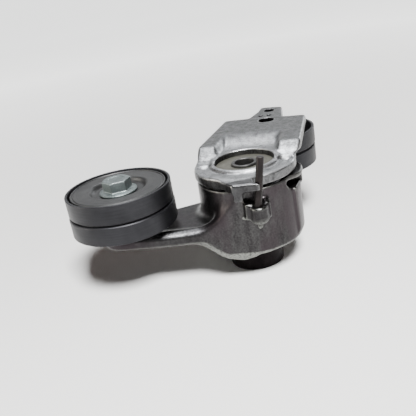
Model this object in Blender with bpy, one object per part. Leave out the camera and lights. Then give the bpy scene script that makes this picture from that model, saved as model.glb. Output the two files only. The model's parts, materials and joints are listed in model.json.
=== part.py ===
"""Belt tensioner with a fixed idler pulley, one named object for each sub-part.

Metres, +Z up. The origin is on the tensioner's pivot axis, at the foot's face
that meets the engine. The tension pulley lies at -X when the arm is pinned.
Lengths below are in millimetres and become metres where a mesh is made.
"""
import math

import bmesh
import bpy
from mathutils import Matrix, Vector

MM = 0.001
GAP = 0.3

# Pivot: foot, tube, bushings and cup
FOOT_RADIUS = 19.7
FOOT_HEIGHT = 18.2
TUBE_BORE = 7.0
TUBE_RADIUS = 9.3
TUBE_TOP = 77.0
TUBE_HOLE = TUBE_RADIUS + GAP
BUSH_RADIUS = TUBE_HOLE + 1.9
HUB_BORE = BUSH_RADIUS + GAP
HUB_RADIUS = 16.0
HUB_TOP = 56.0
CUP_BOTTOM = 18.5
CUP_TOP = 68.4
CUP_FLOOR = 24.0
CUP_RADIUS_TOP = 35.2
CUP_RADIUS_BOTTOM = 36.5
CUP_DRAFT_HEIGHT = 5.0
CUP_DRAFT_DEPTH = 1.6
CUP_INSIDE = 31.8

# Arm
ARM_LENGTH = 91.0
ARM_TOP = 42.0
ARM_BOTTOM = 33.5
ARM_TIP_RADIUS = 18.5
ARM_ROOT_RADIUS = 36.5
ARM_PAD_RADIUS = 13.0
ARM_PAD_TOP = 48.0

# Bracket: round flange, ring, plate. The plate's own axes u and v are turned about Z.
FLANGE_RADIUS = 36.2
FLANGE_BOTTOM = 70.2
FLANGE_TOP = 77.3
RING_RADIUS = 24.5
RING_TOP = 79.0
RECESS_RADIUS = 21.3
RECESS_FLOOR = 73.2
SLEEVE_RADIUS = 13.5
SLEEVE_BOTTOM = 60.0
PLATE_BOTTOM = 78.0
PLATE_TOP = 85.0
PLATE_TURN = math.radians(-18.0)
PLATE_OUTLINE = [
    (-36.2, 3.0), (-36.8, 20.0), (-29.0, 88.6), (-8.6, 88.6), (-3.4, 108.5), (-2.4, 122.6),
    (17.0, 119.4), (20.6, 85.2), (39.6, 83.4), (39.4, 15.0), (36.0, 3.0),
]
SCOOP_HALF_WIDTH = 22.0
TONGUE_HOLE = (6.7, 108.4)
TONGUE_HOLE_RADIUS = 4.2
DIMPLES = ((1.4, 91.4), (8.4, 92.1))
DIMPLE_RADIUS = 1.8
DIMPLE_DEPTH = 2.4
HOOK_BOTTOM = 71.2
HOOK_LEG_BOTTOM = 64.6

# Pulleys, bearings and their bolts. Heights are counted from the belt's middle plane.
BELT_PLANE = 62.35
IDLER_AXIS = (31.3, 71.5)
PULLEY_RADIUS = 38.0
PULLEY_HALF_WIDTH = 14.15
RIM_INSIDE = 35.8
COVER_RADIUS = 34.1
BEARING_HALF_WIDTH = 6.0
BEARING_RADIUS = 20.0
BEARING_BORE = 8.6
BALL_CIRCLE = 14.25
BALL_RADIUS = 3.375
BALL_COUNT = 8
RACE_INNER = 11.6
RACE_OUTER = 16.9
BOLT_RADIUS = 6.0
BOLT_HOLE = BOLT_RADIUS + GAP
HEX_ACROSS_FLATS = 18.0
HEX_HEIGHT = 7.5

# Lock pin, which leans towards +X, the lug it stands in, and the stop pad on the cup
PIN_RADIUS = 2.5
PIN_LENGTH = 43.0
PIN_FOOT = (-1.9, -43.4, 50.6)
PIN_LEAN = math.radians(9.5)
LUG_CENTRE = (0.0, -43.0)
LUG_RADIUS = 6.0
LUG_BOTTOM = 48.0
LUG_TOP = 60.0
STOP_PAD_RADIUS = 37.6

FINE = 40
COARSE = 24


def clear_scene():
    for item in list(bpy.data.objects):
        bpy.data.objects.remove(item, do_unlink=True)


def surface(name, colour, roughness, metallic):
    made = bpy.data.materials.new(name)
    made.use_nodes = True
    shader = made.node_tree.nodes["Principled BSDF"]
    shader.inputs["Base Color"].default_value = (*colour, 1.0)
    shader.inputs["Roughness"].default_value = roughness
    shader.inputs["Metallic"].default_value = metallic
    return made


# ---------------------------------------------------------------- mesh makers

def turned(profile, segments):
    """Closed (radius, height) profile spun about Z; a point at radius 0 is a pole."""
    shape = bmesh.new()
    rings = []
    for radius, height in profile:
        count = segments if radius > 0 else 1
        steps = [2 * math.pi * step / segments for step in range(count)]
        ring = [shape.verts.new(Vector((radius * math.cos(a), radius * math.sin(a), height)) * MM) for a in steps]
        rings.append(ring)
    for first, second in zip(rings, rings[1:] + rings[:1]):
        for step in range(segments):
            after = (step + 1) % segments
            corners = [
                first[step % len(first)], first[after % len(first)],
                second[after % len(second)], second[step % len(second)],
            ]
            corners = list(dict.fromkeys(corners))
            if len(corners) > 2:
                shape.faces.new(corners)
    return shape


def extruded(outline, offset):
    """Flat closed outline of 3-D points, extruded by the offset."""
    shape = bmesh.new()
    offset = Vector(offset)
    near = [shape.verts.new(Vector(point) * MM) for point in outline]
    far = [shape.verts.new((Vector(point) + offset) * MM) for point in outline]
    shape.faces.new(near)
    shape.faces.new(list(reversed(far)))
    for step in range(len(near)):
        after = (step + 1) % len(near)
        shape.faces.new([near[step], far[step], far[after], near[after]])
    return shape


def upright(outline, low, high):
    return extruded([(x, y, low) for x, y in outline], (0, 0, high - low))


def cylinder(radius, low, high, segments=COARSE):
    return turned([(0, low), (radius, low), (radius, high), (0, high)], segments)


def block(low, high):
    corners = [(low[0], low[1]), (high[0], low[1]), (high[0], high[1]), (low[0], high[1])]
    return upright(corners, low[2], high[2])


def coil(radius, wire, low, pitch, turns, steps_per_turn=14, sides=6):
    """Round wire wound into a helix about Z, with flat ends."""
    shape = bmesh.new()
    rings = []
    for step in range(int(turns * steps_per_turn) + 1):
        angle = 2 * math.pi * step / steps_per_turn
        outward = Vector((math.cos(angle), math.sin(angle), 0))
        centre = outward * radius + Vector((0, 0, low + pitch * step / steps_per_turn))
        ring = []
        for side in range(sides):
            turn = 2 * math.pi * side / sides
            point = centre + outward * wire * math.cos(turn) + Vector((0, 0, wire * math.sin(turn)))
            ring.append(shape.verts.new(point * MM))
        rings.append(ring)
    for first, second in zip(rings, rings[1:]):
        for side in range(sides):
            after = (side + 1) % sides
            shape.faces.new([first[side], first[after], second[after], second[side]])
    shape.faces.new(rings[0])
    shape.faces.new(list(reversed(rings[-1])))
    return shape


def arc(centre, radius, start, end, count):
    """Points on an arc, from the start angle to the end angle in degrees."""
    points = []
    for step in range(count + 1):
        angle = math.radians(start + (end - start) * step / count)
        points.append((centre[0] + radius * math.cos(angle), centre[1] + radius * math.sin(angle)))
    return points


# ---------------------------------------------------------------- objects

def part(name, shape, finish, at=(0.0, 0.0)):
    """Object whose origin stands at the given plan position."""
    bmesh.ops.recalc_face_normals(shape, faces=shape.faces)
    mesh = bpy.data.meshes.new(name)
    shape.to_mesh(mesh)
    shape.free()
    made = bpy.data.objects.new(name, mesh)
    made.location = (at[0] * MM, at[1] * MM, 0.0)
    bpy.context.scene.collection.objects.link(made)
    mesh.materials.append(finish)
    smooth_round_faces(made)
    return made


def smooth_round_faces(item):
    item.data.shade_smooth()
    item.data.set_sharp_from_angle(angle=math.radians(32))


def combine(target, operation, shape, at=(0.0, 0.0)):
    """Apply a Boolean of one closed shape to the target."""
    tool = part("tool", shape, target.data.materials[0], at)
    step = target.modifiers.new("combine", 'BOOLEAN')
    step.operation = operation
    step.solver = 'EXACT'
    step.object = tool
    graph = bpy.context.evaluated_depsgraph_get()
    result = bpy.data.meshes.new_from_object(target.evaluated_get(graph))
    target.modifiers.clear()
    target.data = result
    bpy.data.objects.remove(tool, do_unlink=True)


def add(target, shape, at=(0.0, 0.0)):
    combine(target, 'UNION', shape, at)


def cut(target, shape, at=(0.0, 0.0)):
    combine(target, 'DIFFERENCE', shape, at)


def keep_inside(target, shape):
    combine(target, 'INTERSECT', shape)


def pin_matrix():
    """Pin's own frame: origin at its foot, Z along the pin."""
    return Matrix.Translation(Vector(PIN_FOOT) * MM) @ Matrix.Rotation(PIN_LEAN, 4, 'Y')


# ---------------------------------------------------------------- bracket

def plate_point(across, along, height):
    """Plate coordinates to world coordinates."""
    turned_point = Matrix.Rotation(PLATE_TURN, 3, 'Z') @ Vector((across, along, height))
    return tuple(turned_point)


def plate_section(outline, start, end):
    """Outline of (along, height) points, extruded across the plate."""
    points = [plate_point(start, along, height) for along, height in outline]
    return extruded(points, Vector(plate_point(end - start, 0, 0)))


def bracket_plate(finish):
    flange = [
        (TUBE_HOLE, SLEEVE_BOTTOM), (SLEEVE_RADIUS, SLEEVE_BOTTOM), (SLEEVE_RADIUS, FLANGE_BOTTOM),
        (FLANGE_RADIUS, FLANGE_BOTTOM), (FLANGE_RADIUS, FLANGE_TOP), (RING_RADIUS, FLANGE_TOP),
        (RING_RADIUS - 0.4, RING_TOP), (RECESS_RADIUS, RING_TOP), (RECESS_RADIUS, RECESS_FLOOR),
        (TUBE_HOLE, RECESS_FLOOR),
    ]
    bracket = part("bracket_plate", turned(flange, FINE), finish)
    outline = [plate_point(u, v, 0)[:2] for u, v in PLATE_OUTLINE]
    plate = part("plate", upright(outline, FLANGE_TOP - 0.6, PLATE_TOP), finish)
    keep_inside(plate, neck_and_slab())
    cut(plate, plate_section(scoop_outline(), -SCOOP_HALF_WIDTH, SCOOP_HALF_WIDTH))
    for start, end in ((-50.0, 0.5 - SCOOP_HALF_WIDTH), (SCOOP_HALF_WIDTH - 0.5, 50.0)):
        cut(plate, plate_section(shoulder_outline(), start, end))
    cut(plate, cylinder(RECESS_RADIUS + 1.0, FLANGE_BOTTOM, PLATE_TOP + 5, FINE))
    join(bracket, plate)
    add(bracket, upright(hook_outline(), HOOK_BOTTOM, FLANGE_TOP))
    leg = [(-15.9, -44.0), (-9.2, -45.7), (-9.2, -40.2), (-14.6, -38.9)]
    add(bracket, upright(leg, HOOK_LEG_BOTTOM, HOOK_BOTTOM + 1.0))
    cut(bracket, cylinder(BOLT_HOLE, PLATE_BOTTOM - 5, PLATE_TOP + 5), IDLER_AXIS)
    tongue_hole = plate_point(*TONGUE_HOLE, 0)[:2]
    cut(bracket, cylinder(TONGUE_HOLE_RADIUS, PLATE_BOTTOM - 5, PLATE_TOP + 5), tongue_hole)
    for across, along in DIMPLES:
        dimple = cylinder(DIMPLE_RADIUS, PLATE_TOP - DIMPLE_DEPTH, PLATE_TOP + 5, 12)
        cut(bracket, dimple, plate_point(across, along, 0)[:2])
    for pocket in ((-28.5, 4.3), (25.7, -11.6)):
        cut(bracket, cylinder(3.6, FLANGE_TOP - 2.2, PLATE_TOP, 16), pocket)
    smooth_round_faces(bracket)
    return bracket


def join(target, other):
    """Union of two finished objects; the second is used up."""
    shape = bmesh.new()
    shape.from_mesh(other.data)
    bpy.data.objects.remove(other, do_unlink=True)
    add(target, shape)


def neck_and_slab():
    """Everything above the plate's underside, and the neck that stands on the flange."""
    slab = part("slab", block((-150, -150, PLATE_BOTTOM), (150, 180, PLATE_TOP + 5)), bpy.data.materials[0])
    add(slab, cylinder(FLANGE_RADIUS, FLANGE_TOP - 2, PLATE_BOTTOM + 2, FINE))
    shape = bmesh.new()
    shape.from_mesh(slab.data)
    bpy.data.objects.remove(slab, do_unlink=True)
    return shape


def scoop_outline():
    """Air over the ramp between the two shoulders."""
    return [
        (-5, RING_TOP), (23, RING_TOP), (30, RING_TOP + 0.8), (38, RING_TOP + 3.2),
        (44, RING_TOP + 5.2), (49, PLATE_TOP + 0.01), (49, PLATE_TOP + 9), (-5, PLATE_TOP + 9),
    ]


def shoulder_outline():
    """Air over a shoulder's front slope."""
    return [
        (-5, FLANGE_TOP), (4, FLANGE_TOP), (8, FLANGE_TOP + 1.6), (12.5, FLANGE_TOP + 5.2),
        (16, PLATE_TOP - 0.7), (20, PLATE_TOP + 0.01), (20, PLATE_TOP + 9), (-5, PLATE_TOP + 9),
    ]


def hook_outline():
    """Hook that the lock pin bears on, open towards +X."""
    return [
        (-26, -22), (-21.5, -32), (-18.5, -38.5), (-15.7, -44.1), (2.4, -48.8),
        (2.4, -46.6), (-0.9, -45.7), (-0.9, -33.0),
    ]


# ---------------------------------------------------------------- arm

def arm_outline():
    """Plan of the arm: two circles and their outer tangents."""
    tangent = math.degrees(math.acos((ARM_TIP_RADIUS - ARM_ROOT_RADIUS) / ARM_LENGTH))
    root = arc((0, 0), ARM_ROOT_RADIUS, -tangent, tangent, 26)
    tip = arc((-ARM_LENGTH, 0), ARM_TIP_RADIUS, tangent, 360 - tangent, 14)
    return root + tip


def tensioner_arm(finish):
    side = [
        (-112, ARM_TOP - 5), (-96, ARM_BOTTOM + 0.6), (-84, ARM_BOTTOM), (-43, ARM_BOTTOM),
        (-37, 29.6), (-31, 25.2), (-23, 20.4), (-16.5, CUP_BOTTOM), (-4, CUP_BOTTOM),
        (-4, ARM_TOP), (-112, ARM_TOP),
    ]
    arm = part("tensioner_arm", extruded([(x, -45, z) for x, z in side], (0, 90, 0)), finish)
    rib = [
        (-52, ARM_TOP - 1), (-45, ARM_TOP + 0.6), (-36.7, 44.4), (-28.7, 49.2), (-22.6, 55.5),
        (-16.5, 62.5), (-12, 68.8), (-4, CUP_TOP - 0.3), (-4, ARM_TOP - 1),
    ]
    add(arm, extruded([(x, -45, z) for x, z in rib], (0, 16.5, 0)))
    keep_inside(arm, upright(arm_outline(), 0, 90))
    cut(arm, cylinder(CUP_INSIDE + 1.6, 0, 90, FINE))
    add(arm, turned(cup_profile(), FINE))
    pad = [(0, ARM_TOP - 2), (ARM_PAD_RADIUS + 3, ARM_TOP - 2), (ARM_PAD_RADIUS, ARM_PAD_TOP), (0, ARM_PAD_TOP)]
    add(arm, turned(pad, COARSE), (-ARM_LENGTH, 0))
    cut(arm, cylinder(BOLT_HOLE, 0, 90), (-ARM_LENGTH, 0))
    add_lug(arm)
    add_stop_ear(arm)
    smooth_round_faces(arm)
    return arm


def cup_profile():
    """Cup with a floor, a bearing hub in the middle and a drafted lower edge."""
    return [
        (HUB_BORE, CUP_BOTTOM), (CUP_RADIUS_BOTTOM - CUP_DRAFT_DEPTH, CUP_BOTTOM),
        (CUP_RADIUS_BOTTOM, CUP_BOTTOM + CUP_DRAFT_HEIGHT), (CUP_RADIUS_TOP, CUP_TOP),
        (CUP_INSIDE, CUP_TOP), (CUP_INSIDE, CUP_FLOOR), (HUB_RADIUS, CUP_FLOOR),
        (HUB_RADIUS, HUB_TOP), (HUB_BORE, HUB_TOP),
    ]


def add_lug(arm):
    """Lug for the lock pin: post, web, pad on the left and horn on the right."""
    post = [
        (0, LUG_BOTTOM - 3.5), (1.2, LUG_BOTTOM - 3.2), (LUG_RADIUS - 1.6, LUG_BOTTOM - 0.6),
        (LUG_RADIUS, LUG_BOTTOM + 1.2), (LUG_RADIUS, LUG_TOP), (0, LUG_TOP),
    ]
    add(arm, turned(post, COARSE), LUG_CENTRE)
    add(arm, block((-5.0, -42, LUG_BOTTOM), (5.0, -34, LUG_TOP - 0.6)))
    add(arm, block((-9.0, -43.5, LUG_BOTTOM + 2), (-3.5, -33, LUG_TOP + 1.8)))
    add(arm, block((4.4, -42.5, LUG_BOTTOM + 0.8), (8.2, -33.5, LUG_TOP + 1.4)))
    hole = cylinder(PIN_RADIUS + GAP, -1.0, PIN_LENGTH, 20)
    hole.transform(pin_matrix())
    cut(arm, hole)


def add_stop_ear(arm):
    """Stop on the cup's right side: ear under the flange, window, pad below and bar beside."""
    ear_low = CUP_TOP - 2.6
    window_low = CUP_TOP - 9.0
    ear = arc((0, 0), 33.5, -50, 4, 8) + arc((0, 0), 40.0, -6, -24, 3)
    add(arm, upright(ear, ear_low, CUP_TOP + 0.8))
    pad = arc((0, 0), 33.5, -38, 2, 6) + arc((0, 0), STOP_PAD_RADIUS, 2, -38, 6)
    add(arm, upright(pad, CUP_BOTTOM + 7.0, window_low - 0.2))
    bar = arc((0, 0), 33.5, -12, -5, 2) + arc((0, 0), 39.4, -5, -12, 2)
    add(arm, upright(bar, window_low - 3.0, ear_low + 0.6))
    window = arc((0, 0), 28.0, -47, -13, 5) + arc((0, 0), 42.0, -13, -47, 5)
    cut(arm, upright(window, window_low, ear_low - 0.2))


# ---------------------------------------------------------------- pivot pieces

def pivot_pieces(steel, seat_steel, dark, plastic, spring_steel, friction):
    part("mounting_foot", turned([
        (TUBE_HOLE, 0), (FOOT_RADIUS - 0.8, 0), (FOOT_RADIUS, 0.8),
        (FOOT_RADIUS, FOOT_HEIGHT), (TUBE_HOLE, FOOT_HEIGHT),
    ], FINE), dark)
    part("pivot_tube", turned(ring_profile(TUBE_BORE, TUBE_RADIUS, 0.2, TUBE_TOP), COARSE), steel)
    part("seat_disc", turned(ring_profile(
        TUBE_HOLE, RECESS_RADIUS - GAP, RECESS_FLOOR + GAP, RECESS_FLOOR + 2.3,
    ), FINE), seat_steel)
    lower = ring_profile(TUBE_HOLE, BUSH_RADIUS, CUP_BOTTOM + 0.3, 35.0)
    part("lower_bushing", turned(lower, COARSE), plastic)
    flanged = [
        (TUBE_HOLE, 39.0), (BUSH_RADIUS, 39.0), (BUSH_RADIUS, HUB_TOP + GAP),
        (HUB_RADIUS, HUB_TOP + GAP), (HUB_RADIUS, HUB_TOP + 2.2), (TUBE_HOLE, HUB_TOP + 2.2),
    ]
    part("upper_bushing", turned(flanged, COARSE), plastic)
    part("torsion_spring", coil(22.6, 2.6, 28.0, 7.2, 5.0), spring_steel)
    shoe = arc((0, 0), 26.2, 130, 230, 10) + arc((0, 0), CUP_INSIDE - 0.5, 230, 130, 10)
    part("damper_shoe", upright(shoe, 28.0, 64.0), friction)


def ring_profile(inner, outer, low, high):
    return [(inner, low), (outer, low), (outer, high), (inner, high)]


def lock_pin(finish):
    chamfer = 0.6
    shape = turned([
        (0, 0), (PIN_RADIUS - chamfer, 0), (PIN_RADIUS, chamfer),
        (PIN_RADIUS, PIN_LENGTH - chamfer), (PIN_RADIUS - chamfer, PIN_LENGTH), (0, PIN_LENGTH),
    ], 20)
    made = part("lock_pin", shape, finish)
    made.matrix_world = pin_matrix()


# ---------------------------------------------------------------- pulleys

def placed(profile, side):
    """Heights from the belt plane to world heights; side -1 turns the stack upside down."""
    return [(radius, BELT_PLANE + side * height) for radius, height in profile]


def pulley_stack(name, axis, side, spacer_end, shank_end, finishes):
    """A pulley with its ball bearing, spacer, dust cover and bolt."""
    shell, cover, steel, zinc, cage, seal = finishes
    part(name + "_pulley", turned(placed(shell_profile(), side), FINE), shell, axis)
    part(name + "_dust_cover", turned(placed(cover_profile(), side), 36), cover, axis)
    add_bearing(name, axis, side, steel, cage, seal)
    half = BEARING_HALF_WIDTH
    spacer = [
        (BOLT_HOLE, spacer_end), (RACE_INNER, spacer_end), (RACE_INNER, -half - GAP),
        (BEARING_BORE - GAP, -half - GAP), (BEARING_BORE - GAP, half), (BOLT_HOLE, half),
    ]
    part(name + "_spacer", turned(placed(spacer, side), COARSE), steel, axis)
    washer = ring_profile(BOLT_HOLE, RACE_INNER, half + GAP, half + 2.05)
    part(name + "_washer", turned(placed(washer, side), COARSE), steel, axis)
    add_bolt(name, axis, side, shank_end, zinc)


def shell_profile():
    """Rim with two belt bands, a web in the middle and the bearing seat."""
    half = PULLEY_HALF_WIDTH
    hub = BEARING_HALF_WIDTH + 0.6
    seat = BEARING_RADIUS + GAP
    return [
        (PULLEY_RADIUS - 0.4, half), (PULLEY_RADIUS - 0.4, 0.8), (PULLEY_RADIUS - 1.4, 0.5),
        (PULLEY_RADIUS - 1.4, -0.6), (PULLEY_RADIUS, -1.5), (PULLEY_RADIUS, -half),
        (RIM_INSIDE, -half), (RIM_INSIDE, -2), (seat + 2.7, -2), (seat + 2.7, -hub), (seat, -hub),
        (seat, hub), (seat + 2.7, hub), (seat + 2.7, 2), (RIM_INSIDE, 2), (RIM_INSIDE, half),
    ]


def cover_profile():
    """Pressed steel disc: flat centre, rolled step, flat ring and a bead at the edge."""
    return [
        (BOLT_HOLE, 9.85), (18.5, 9.85), (19.8, 11.6), (21.75, 13.35), (32.2, 13.35),
        (32.8, 13.0), (33.2, 13.6), (COVER_RADIUS, 13.3), (COVER_RADIUS, 11.85), (22.4, 11.85),
        (20.9, 10.4), (19.3, 8.35), (BOLT_HOLE, 8.35),
    ]


def race_groove(edge, bottom, middle):
    """Ball groove of a race, from one edge over its bottom to the other edge."""
    return [(edge, -2.55), (middle, -1.62), (bottom, 0.0), (middle, 1.62), (edge, 2.55)]


def add_bearing(name, axis, side, steel, cage_finish, seal_finish):
    half = BEARING_HALF_WIDTH
    groove = BALL_RADIUS + GAP
    inner = [(BEARING_BORE, half), (BEARING_BORE, -half), (RACE_INNER, -half)]
    inner += race_groove(RACE_INNER, BALL_CIRCLE - groove, 10.95) + [(RACE_INNER, half)]
    outer = [(BEARING_RADIUS, half), (BEARING_RADIUS, -half), (RACE_OUTER, -half)]
    outer += race_groove(RACE_OUTER, BALL_CIRCLE + groove, 17.55) + [(RACE_OUTER, half)]
    part(name + "_inner_race", turned(placed(inner, side), COARSE), steel, axis)
    part(name + "_outer_race", turned(placed(outer, side), COARSE), steel, axis)
    for label, low, high in (("outer_seal", 4.9, 5.7), ("inner_seal", -5.7, -4.9)):
        seal = ring_profile(RACE_INNER + 0.4, RACE_OUTER - GAP, low, high)
        part(name + "_" + label, turned(placed(seal, side), COARSE), seal_finish, axis)
    part(name + "_cage", cage_shape(side), cage_finish, axis)
    for ball in range(BALL_COUNT):
        angle = 2 * math.pi * ball / BALL_COUNT
        shape = bmesh.new()
        bmesh.ops.create_icosphere(shape, subdivisions=2, radius=BALL_RADIUS * MM)
        place = Vector((BALL_CIRCLE * math.cos(angle), BALL_CIRCLE * math.sin(angle), BELT_PLANE)) * MM
        bmesh.ops.translate(shape, verts=shape.verts, vec=place)
        part("%s_ball_%d" % (name, ball + 1), shape, steel, axis)


def cage_shape(side):
    """Crown cage: a ring beside the balls, with a post between each two balls."""
    segments = BALL_COUNT * 6
    ring_low = BALL_RADIUS + 0.35
    shape = turned(placed(ring_profile(13.0, 15.5, ring_low, ring_low + 0.9), side), segments)
    under = (BELT_PLANE + side * ring_low) * MM
    posts = []
    for face in shape.faces:
        centre = face.calc_center_median()
        turn = math.degrees(math.atan2(centre.y, centre.x)) % (360 / BALL_COUNT)
        between_balls = abs(turn - 180 / BALL_COUNT) < 180 / segments + 0.5
        if abs(centre.z - under) < 0.05 * MM and between_balls:
            posts.append(face)
    grown = bmesh.ops.extrude_face_region(shape, geom=posts)["geom"]
    moved = [item for item in grown if isinstance(item, bmesh.types.BMVert)]
    bmesh.ops.translate(shape, verts=moved, vec=Vector((0, 0, -side * 6.0 * MM)))
    bmesh.ops.delete(shape, geom=posts, context='FACES')
    return shape


def add_bolt(name, axis, side, shank_end, finish):
    flange_low = 10.15
    flange_high = 12.15
    body = [
        (0, shank_end), (BOLT_RADIUS - 0.8, shank_end), (BOLT_RADIUS, shank_end + 0.8),
        (BOLT_RADIUS, flange_low), (13.5, flange_low), (13.5, flange_high - 0.8),
        (12.0, flange_high), (0, flange_high),
    ]
    bolt = part(name + "_bolt", turned(placed(body, side), COARSE), finish, axis)
    corner = HEX_ACROSS_FLATS / math.sqrt(3)
    hexagon = arc((0, 0), corner, 8, 308, 5)
    low, high = sorted(BELT_PLANE + side * (flange_high + step) for step in (-0.6, HEX_HEIGHT))
    add(bolt, upright(hexagon, low, high), axis)
    smooth_round_faces(bolt)


def build():
    clear_scene()
    cast = surface("cast_aluminium", (0.36, 0.36, 0.37), 0.42, 0.9)
    steel = surface("bearing_steel", (0.52, 0.52, 0.53), 0.3, 1.0)
    seat_steel = surface("seat_steel", (0.34, 0.33, 0.30), 0.5, 0.8)
    dark = surface("black_coating", (0.02, 0.018, 0.018), 0.6, 0.2)
    plastic = surface("bushing_plastic", (0.08, 0.07, 0.05), 0.55, 0.0)
    spring_steel = surface("spring_steel", (0.10, 0.10, 0.11), 0.4, 0.9)
    friction = surface("friction_nylon", (0.20, 0.18, 0.13), 0.6, 0.0)
    shell = surface("phosphated_steel", (0.07, 0.07, 0.075), 0.5, 0.7)
    cover = surface("pressed_steel", (0.18, 0.18, 0.18), 0.45, 0.8)
    zinc = surface("zinc_plating", (0.34, 0.38, 0.38), 0.42, 0.85)
    cage = surface("cage_brass", (0.55, 0.42, 0.18), 0.4, 0.9)
    seal = surface("seal_rubber", (0.02, 0.02, 0.02), 0.7, 0.0)
    pin_steel = surface("pin_steel", (0.05, 0.04, 0.04), 0.45, 0.7)
    bracket_plate(cast)
    tensioner_arm(cast)
    pivot_pieces(steel, seat_steel, dark, plastic, spring_steel, friction)
    lock_pin(pin_steel)
    finishes = (shell, cover, steel, zinc, cage, seal)
    arm_side = ARM_PAD_TOP + GAP - BELT_PLANE
    pulley_stack("tension", (-ARM_LENGTH, 0.0), 1, arm_side, ARM_BOTTOM + 1 - BELT_PLANE, finishes)
    plate_side = BELT_PLANE - PLATE_BOTTOM + GAP
    pulley_stack("idler", IDLER_AXIS, -1, plate_side, BELT_PLANE - PLATE_TOP + 4, finishes)


build()
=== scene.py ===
"""Looks for the belt tensioner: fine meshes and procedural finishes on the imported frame."""

import json
import math

import bmesh
import bpy
import numpy as np
from mathutils import Matrix, Vector

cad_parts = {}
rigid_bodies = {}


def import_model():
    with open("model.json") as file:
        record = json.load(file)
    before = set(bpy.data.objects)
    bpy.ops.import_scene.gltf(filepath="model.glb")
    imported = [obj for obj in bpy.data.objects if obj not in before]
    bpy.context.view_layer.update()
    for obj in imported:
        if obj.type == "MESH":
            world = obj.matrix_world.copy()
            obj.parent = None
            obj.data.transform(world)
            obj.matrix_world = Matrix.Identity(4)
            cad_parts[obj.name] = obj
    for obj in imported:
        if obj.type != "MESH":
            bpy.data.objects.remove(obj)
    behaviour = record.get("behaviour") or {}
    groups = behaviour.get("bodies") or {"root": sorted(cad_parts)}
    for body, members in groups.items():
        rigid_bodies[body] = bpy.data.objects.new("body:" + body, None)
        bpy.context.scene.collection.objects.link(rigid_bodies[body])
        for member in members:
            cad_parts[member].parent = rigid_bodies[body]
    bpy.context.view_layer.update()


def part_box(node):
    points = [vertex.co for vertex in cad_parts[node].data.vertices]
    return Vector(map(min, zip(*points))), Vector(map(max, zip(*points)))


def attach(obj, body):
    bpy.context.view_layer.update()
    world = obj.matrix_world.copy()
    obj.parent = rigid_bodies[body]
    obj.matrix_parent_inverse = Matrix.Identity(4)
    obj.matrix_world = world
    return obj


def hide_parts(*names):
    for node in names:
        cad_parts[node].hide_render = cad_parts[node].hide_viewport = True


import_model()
MM = 0.001


def low_of(node):
    """Lowest corner of a node's box."""
    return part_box(node)[0] / MM


def high_of(node):
    """Highest corner of a node's box."""
    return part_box(node)[1] / MM


def middle_of(node):
    """Middle of a node's box."""
    return (low_of(node) + high_of(node)) / 2


# Main sizes in millimetres, in the frame's own axes. Those that a node's box shows are read from it.
FOOT_RADIUS = high_of("mounting_foot").x
TUBE_TOP = high_of("pivot_tube").z
TUBE_RADIUS = high_of("pivot_tube").x
TUBE_BORE = TUBE_RADIUS - 2.3
CUP_BOTTOM = low_of("tensioner_arm").z
CUP_TOP = 68.4
CUP_FLOOR = 24.0
CUP_INSIDE = 31.8
CUP_RADIUS_TOP = 35.2
CUP_RADIUS_BOTTOM = 36.5
DRAFT_DEPTH = 1.7
DRAFT_SLOPE = 0.34
HUB_BORE = 11.8
HUB_RADIUS = 16.0
HUB_TOP = 56.0
ARM_TOP = 42.0
ARM_BOTTOM = 33.5
PAD_TOP = 48.0
FLANGE_RADIUS = 36.2
FLANGE_BOTTOM = 70.2
FLANGE_TOP = 77.3
RING_RADIUS = 24.5
RING_TOP = 79.0
RECESS_RADIUS = 21.3
RECESS_FLOOR = 73.2
PLATE_BOTTOM = 78.0
PLATE_TOP = high_of("bracket_plate").z
PLATE_TURN = math.radians(-18.0)
PLATE_OUTLINE = [
    (-36.2, 3.0), (-36.8, 20.0), (-29.0, 88.6), (-8.6, 88.6), (-3.4, 108.5), (-2.4, 122.6),
    (17.0, 119.4), (20.6, 85.2), (39.6, 83.4), (39.4, 15.0), (36.0, 3.0),
]
BELT_PLANE = middle_of("tension_pulley").z
TENSION_AXIS = middle_of("tension_pulley").to_2d()
IDLER_AXIS = middle_of("idler_pulley").to_2d()
BOLT_HOLE = 6.3
TUBE_HOLE = 9.6
FOOT_TOP = 18.2
PIN_LEAN = math.radians(9.5)
PIN_FOOT = Vector((-1.9, -43.4, 50.6))
PIN_LENGTH = 43.0
PIN_RADIUS = 2.5
PIN_HOLE = 2.8


# ------------------------------------------------------------------ meshes

def piece(name, mesh, finish, body, nodes, at=(0.0, 0.0), sharp=None):
    """A finished piece that rides on a body and stands for CAD nodes."""
    made = bpy.data.objects.new(name, mesh)
    bpy.context.scene.collection.objects.link(made)
    made.location = (at[0] * MM, at[1] * MM, 0.0)
    mesh.materials.append(finish)
    mesh.shade_smooth()
    if sharp:
        mesh.set_sharp_from_angle(angle=math.radians(sharp))
    bpy.context.view_layer.update()
    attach(made, body)
    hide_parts(*nodes)
    return made


def softened(profile, radius, steps=4):
    """Closed 2-D outline with each corner turned into a short arc-like curve."""
    points = [Vector(point) for point in profile]
    rounded = []
    for place, corner in enumerate(points):
        before = points[place - 1] - corner
        after = points[(place + 1) % len(points)] - corner
        reach = min(radius, before.length * 0.45, after.length * 0.45)
        if corner.x < 1e-6:
            rounded.append(corner)
            continue
        start = corner + before.normalized() * reach
        end = corner + after.normalized() * reach
        for step in range(steps + 1):
            t = step / steps
            rounded.append(start * (1 - t) ** 2 + corner * 2 * t * (1 - t) + end * t ** 2)
    return rounded


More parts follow.
